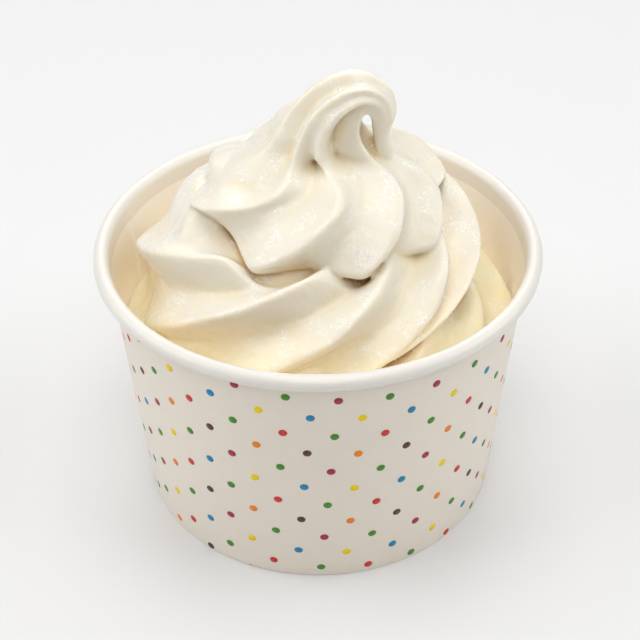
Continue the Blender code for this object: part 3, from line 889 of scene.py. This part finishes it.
def mark_shelter(mesh):
    """Keeps on each point the share of directions in which other yogurt stands close by."""
    skin = bmesh.new()
    skin.from_mesh(mesh)
    tree = BVHTree.FromBMesh(skin)
    skin.free()
    looks = []
    for k in range(LOOKS):
        height = math.sqrt(1.0 - (k + 0.5) / LOOKS * WIDEST_LOOK)
        spread = math.sqrt(1.0 - height * height)
        turn = k * GOLDEN_TURN
        looks.append((height, spread * math.cos(turn), spread * math.sin(turn)))
    shares = np.empty(len(mesh.vertices))
    for vertex in mesh.vertices:
        normal = vertex.normal
        side = normal.orthogonal().normalized()
        across = normal.cross(side)
        start = vertex.co + normal * LOOK_FROM
        met = 0
        for height, one, two in looks:
            look = normal * height + side * one + across * two
            if tree.ray_cast(start, look, LOOK_REACH)[0]:
                met += 1
        shares[vertex.index] = met / LOOKS
    edges = np.empty(2 * len(mesh.edges), dtype=int)
    mesh.edges.foreach_get("vertices", edges)
    spread_out = smoothed(shares[:, None], edges.reshape(-1, 2), SHELTER_ROUNDS)
    mesh.attributes.new("shelter", "FLOAT", "POINT").data.foreach_set("value", spread_out[:, 0])


def mark_folds(mesh):
    """Keeps on each point how far it lies below its wide and its close surroundings."""
    count = len(mesh.vertices)
    spots = np.empty(3 * count)
    mesh.vertices.foreach_get("co", spots)
    spots = spots.reshape(-1, 3)
    normals = np.empty(3 * count)
    mesh.vertices.foreach_get("normal", normals)
    normals = normals.reshape(-1, 3)
    edges = np.empty(2 * len(mesh.edges), dtype=int)
    mesh.edges.foreach_get("vertices", edges)
    edges = edges.reshape(-1, 2)
    for name, rounds in (("fold_depth", FOLD_ROUNDS), ("crease_depth", CREASE_ROUNDS)):
        moved = smoothed(spots, edges, rounds) - spots
        below = (moved * normals).sum(axis=1) / MM
        mesh.attributes.new(name, "FLOAT", "POINT").data.foreach_set("value", below)


# Soft serve: cultured milk, sugar and air, churned and frozen fine. It is a warm white that glows
# a little from inside. Bounce light is painted in: it is yellower low in the cup against the paper
# and in the folds. Painted shade turns it brown in the creases and the gaps. Its wet skin breaks
# over the ice grains into small bright glints, and painted highlights add thin white glint lines in
# patches on its upper faces. The grains are drawn some four times their real size, so that they
# show.
CREAM = "#F0EADD"
CREAM_DEEP = "#F1E9D7"
FOLD_BOUNCE_CREAM = "#F3E3BD"
CUP_BOUNCE_CREAM = "#FFEECD"
CREASE_PAINTED_SHADE = "#CAA04C"
GLINT_WHITE = "#FFFDF6"
GLINT_LINE_SIZE = 0.9 * MM
ICE_GRAIN = 0.50 * MM
ICE_PATCH = 5.0 * MM
CHURN_GRAIN = 1.3 * MM
CREAM_CLOUD = 9.0 * MM
CUP_BOUNCE_TOP = 64.0 * MM
CUP_BOUNCE_FOOT = 50.0 * MM
# Where each painted tone starts and is full: depths of folds and creases in millimetres, share of a
# point's looks that meet yogurt, noise beside the middle of a glint line, noise inside the patches,
# and how far the face turns up.
FOLD_TONE = (0.0, 1.5)
CREASE_TONE = (0.22, 0.75)
GAP_TONE = (0.60, 0.95)
GLINT_LINE_NOISE = (0.045, 0.015)
GLINT_PATCH = (0.50, 0.60)
GLINT_FACING_UP = (0.20, 0.60)
ICY_PATCH = (0.42, 0.60)
CHURN_RELIEF = 0.40 * MM
ICE_RELIEF = 0.20 * MM


def soft_serve(name):
    material, place = new_material(name)
    # Cream in faint clouds, and painted bounce light: yellower in the folds and low near the paper.
    clouds = add_node(material, "ShaderNodeTexNoise", {
        "Scale": 1.0 / CREAM_CLOUD, "Detail": 2.0, "Roughness": 0.5,
    }, {"Vector": place})
    tone = add_node(material, "ShaderNodeMix", {
        "data_type": "RGBA", 6: linear(CREAM), 7: linear(CREAM_DEEP),
    }, {0: clouds.outputs["Fac"]})
    fold_depth = add_node(material, "ShaderNodeAttribute", {"attribute_name": "fold_depth"})
    in_fold = add_node(material, "ShaderNodeMapRange", {
        "From Min": FOLD_TONE[0], "From Max": FOLD_TONE[1],
    }, {"Value": fold_depth.outputs["Fac"]})
    fold_bounce_lit = add_node(material, "ShaderNodeMix", {
        "data_type": "RGBA", 7: linear(FOLD_BOUNCE_CREAM),
    }, {0: in_fold.outputs["Result"], 6: tone.outputs[2]})
    # Painted bounce light: yellower low in the cup, for light bouncing between paper and yogurt.
    height = add_node(material, "ShaderNodeSeparateXYZ", links={"Vector": place})
    near_paper = add_node(material, "ShaderNodeMapRange", {
        "From Min": CUP_BOUNCE_TOP, "From Max": CUP_BOUNCE_FOOT,
    }, {"Value": height.outputs["Z"]})
    cup_bounce_lit = add_node(material, "ShaderNodeMix", {
        "data_type": "RGBA", 7: linear(CUP_BOUNCE_CREAM),
    }, {0: near_paper.outputs["Result"], 6: fold_bounce_lit.outputs[2]})
    # Painted shade: brown in the creases and in the gaps that little light reaches.
    crease_depth = add_node(material, "ShaderNodeAttribute", {"attribute_name": "crease_depth"})
    in_crease = add_node(material, "ShaderNodeMapRange", {
        "From Min": CREASE_TONE[0], "From Max": CREASE_TONE[1],
    }, {"Value": crease_depth.outputs["Fac"]})
    shelter = add_node(material, "ShaderNodeAttribute", {"attribute_name": "shelter"})
    in_gap = add_node(material, "ShaderNodeMapRange", {
        "From Min": GAP_TONE[0], "From Max": GAP_TONE[1],
    }, {"Value": shelter.outputs["Fac"]})
    painted_shade_share = add_node(material, "ShaderNodeMath", {
        "operation": "MAXIMUM",
    }, {0: in_crease.outputs["Result"], 1: in_gap.outputs["Result"]})
    crease_shaded = add_node(material, "ShaderNodeMix", {
        "data_type": "RGBA", 7: linear(CREASE_PAINTED_SHADE),
    }, {0: painted_shade_share.outputs["Value"], 6: cup_bounce_lit.outputs[2]})
    # The churned body under the skin, and the patches where the ice comes to the surface.
    churned = add_node(material, "ShaderNodeTexNoise", {
        "Scale": 1.0 / CHURN_GRAIN, "Detail": 1.5, "Roughness": 0.5,
    }, {"Vector": place})
    body_relief = add_node(material, "ShaderNodeBump", {
        "Strength": 0.3, "Distance": CHURN_RELIEF,
    }, {"Height": churned.outputs["Fac"]})
    patches = add_node(material, "ShaderNodeTexNoise", {
        "Scale": 1.0 / ICE_PATCH, "Detail": 1.0, "Roughness": 0.5,
    }, {"Vector": place})
    icy = add_node(material, "ShaderNodeMapRange", {
        "From Min": ICY_PATCH[0], "From Max": ICY_PATCH[1], "To Min": 0.45,
    }, {"Value": patches.outputs["Fac"]})
    # Painted highlights: thin broken white glint lines, on the upper faces of those patches.
    glint_noise = add_node(material, "ShaderNodeTexNoise", {
        "Scale": 1.0 / GLINT_LINE_SIZE, "Detail": 1.0, "Roughness": 0.5, "Distortion": 0.6,
    }, {"Vector": place})
    off_line = add_node(material, "ShaderNodeMath", {
        "operation": "SUBTRACT", 1: 0.5,
    }, {0: glint_noise.outputs["Fac"]})
    beside_line = add_node(material, "ShaderNodeMath", {
        "operation": "ABSOLUTE",
    }, {0: off_line.outputs["Value"]})
    on_line = add_node(material, "ShaderNodeMapRange", {
        "From Min": GLINT_LINE_NOISE[0], "From Max": GLINT_LINE_NOISE[1],
    }, {"Value": beside_line.outputs["Value"]})
    glint_patches = add_node(material, "ShaderNodeMapRange", {
        "From Min": GLINT_PATCH[0], "From Max": GLINT_PATCH[1], "To Max": 0.9,
    }, {"Value": patches.outputs["Fac"]})
    surface = add_node(material, "ShaderNodeNewGeometry")
    facing = add_node(material, "ShaderNodeSeparateXYZ", links={"Vector": surface.outputs["Normal"]})
    facing_up = add_node(material, "ShaderNodeMapRange", {
        "From Min": GLINT_FACING_UP[0], "From Max": GLINT_FACING_UP[1],
    }, {"Value": facing.outputs["Z"]})
    glint_patch_share = add_node(material, "ShaderNodeMath", {
        "operation": "MULTIPLY",
    }, {0: glint_patches.outputs["Result"], 1: facing_up.outputs["Result"]})
    painted_glint = add_node(material, "ShaderNodeMath", {
        "operation": "MULTIPLY",
    }, {0: on_line.outputs["Result"], 1: glint_patch_share.outputs["Value"]})
    glinted = add_node(material, "ShaderNodeMix", {
        "data_type": "RGBA", 7: linear(GLINT_WHITE),
    }, {0: painted_glint.outputs["Value"], 6: crease_shaded.outputs[2]})
    # The ice grains that roughen the wet skin alone.
    grains = add_node(material, "ShaderNodeTexNoise", {
        "Scale": 1.0 / ICE_GRAIN, "Detail": 1.5, "Roughness": 0.5,
    }, {"Vector": place})
    broken = add_node(material, "ShaderNodeMath", {
        "operation": "MULTIPLY",
    }, {0: grains.outputs["Fac"], 1: icy.outputs["Result"]})
    skin_relief = add_node(material, "ShaderNodeBump", {
        "Strength": 0.8, "Distance": ICE_RELIEF,
    }, {"Height": broken.outputs["Value"], "Normal": body_relief.outputs["Normal"]})
    cream = add_node(material, "ShaderNodeBsdfPrincipled", {
        "Roughness": 0.42,
        "IOR": 1.38,
        "Subsurface Weight": 1.0,
        "Subsurface Radius": (1.0, 0.9, 0.65),
        "Subsurface Scale": 1.2 * MM,
        "Coat Weight": 0.6,
        "Coat Roughness": 0.08,
        "Coat IOR": 1.5,
    }, {
        "Base Color": glinted.outputs[2],
        "Normal": body_relief.outputs["Normal"],
        "Coat Normal": skin_relief.outputs["Normal"],
    })
    show_shader(material, cream)
    return material


yogurt_mesh = fused([
    grid_mesh("fill", fill_rings(), caps=True),
    grid_mesh("lower_turn", coil_turn(LOWER_TURN), caps=True),
    grid_mesh("middle_turn", coil_turn(MIDDLE_TURN), caps=True),
    grid_mesh("top_turn", top_turn(), caps=True),
])
settle(yogurt_mesh)
mark_folds(yogurt_mesh)
mark_shelter(yogurt_mesh)
yogurt_mesh.name = "soft_serve_swirl"
yogurt = add_piece("soft_serve_swirl", yogurt_mesh, soft_serve("frozen_soft_serve"))
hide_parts("frozen_yogurt")


# The studio: a plain pale sweep lit by five broad soft panels, above, behind, on both sides and
# high in front, in a dim room. It isn't part of the object.

FLOOR_HALF = 3.0
FLOOR_WHITE = "#E5E5E5"
ROOM_WHITE = "#FFFFFF"
ROOM_LIGHT = 0.15
PANEL_AIM = (0.0, 0.0, 0.05)
LIGHT_BOUNCES = 8
# Place, width and watts of each panel.
PANELS = {
    "overhead_panel": ((0.0, 0.0, 1.10), 0.6, 3.7),
    "back_panel": ((0.0, 1.10, 0.75), 1.0, 5.3),
    "left_panel": ((-1.00, 0.0, 0.80), 1.0, 6.9),
    "right_panel": ((1.00, 0.0, 0.80), 1.0, 6.2),
    "front_panel": ((0.0, -0.75, 1.00), 0.6, 3.8),
}

floor_mesh = bpy.data.meshes.new("studio_floor")
corners = [
    (-FLOOR_HALF, -FLOOR_HALF, 0.0),
    (FLOOR_HALF, -FLOOR_HALF, 0.0),
    (FLOOR_HALF, FLOOR_HALF, 0.0),
    (-FLOOR_HALF, FLOOR_HALF, 0.0),
]
floor_mesh.from_pydata(corners, [], [(0, 1, 2, 3)])
floor = bpy.data.objects.new("studio_floor", floor_mesh)
bpy.context.scene.collection.objects.link(floor)
sweep = new_material("matt_white_sweep")[0]
show_shader(sweep, add_node(sweep, "ShaderNodeBsdfPrincipled", {
    "Base Color": linear(FLOOR_WHITE), "Roughness": 0.8, "Specular IOR Level": 0.2,
}))
floor_mesh.materials.append(sweep)

room = bpy.data.worlds.new("white_room")
room.use_nodes = True
room.node_tree.nodes["Background"].inputs["Color"].default_value = linear(ROOM_WHITE)
room.node_tree.nodes["Background"].inputs["Strength"].default_value = ROOM_LIGHT
bpy.context.scene.world = room

for name, (spot, width, watts) in PANELS.items():
    panel = bpy.data.lights.new(name, "AREA")
    panel.size = width
    panel.energy = watts
    panel_object = bpy.data.objects.new(name, panel)
    panel_object.location = spot
    aim = Vector(PANEL_AIM) - Vector(spot)
    panel_object.rotation_euler = aim.to_track_quat("-Z", "Y").to_euler()
    bpy.context.scene.collection.objects.link(panel_object)

# The camera looks down at the cup from the front: distance, drop of the view line and roll in
# radians, the point it looks at, and the lens and sensor in millimetres.
CAMERA_DISTANCE = 341.3 * MM
CAMERA_DROP = 0.6551
CAMERA_ROLL = -0.0092
CAMERA_TARGET = Vector((0.323, 0.0, 39.67)) * MM
CAMERA_LENS = 87.08
CAMERA_SENSOR = 36.0
CAMERA_CLIP = 0.01

view_line = Vector((0.0, math.cos(CAMERA_DROP), -math.sin(CAMERA_DROP)))
level_up = Vector((0.0, math.sin(CAMERA_DROP), math.cos(CAMERA_DROP)))
level_right = Vector((1.0, 0.0, 0.0))
rolled_right = level_right * math.cos(CAMERA_ROLL) + level_up * math.sin(CAMERA_ROLL)
rolled_up = level_up * math.cos(CAMERA_ROLL) - level_right * math.sin(CAMERA_ROLL)
camera_data = bpy.data.cameras.new("camera")
camera_data.lens = CAMERA_LENS
camera_data.sensor_width = CAMERA_SENSOR
camera_data.clip_start = CAMERA_CLIP
camera = bpy.data.objects.new("camera", camera_data)
turned = Matrix((rolled_right, rolled_up, -view_line)).transposed().to_4x4()
camera.matrix_world = Matrix.Translation(CAMERA_TARGET - view_line * CAMERA_DISTANCE) @ turned
bpy.context.scene.collection.objects.link(camera)
bpy.context.scene.camera = camera
bpy.context.scene.view_settings.view_transform = "Standard"
# Light passes many times between the folds and the paper before it comes out.
bpy.context.scene.cycles.diffuse_bounces = LIGHT_BOUNCES
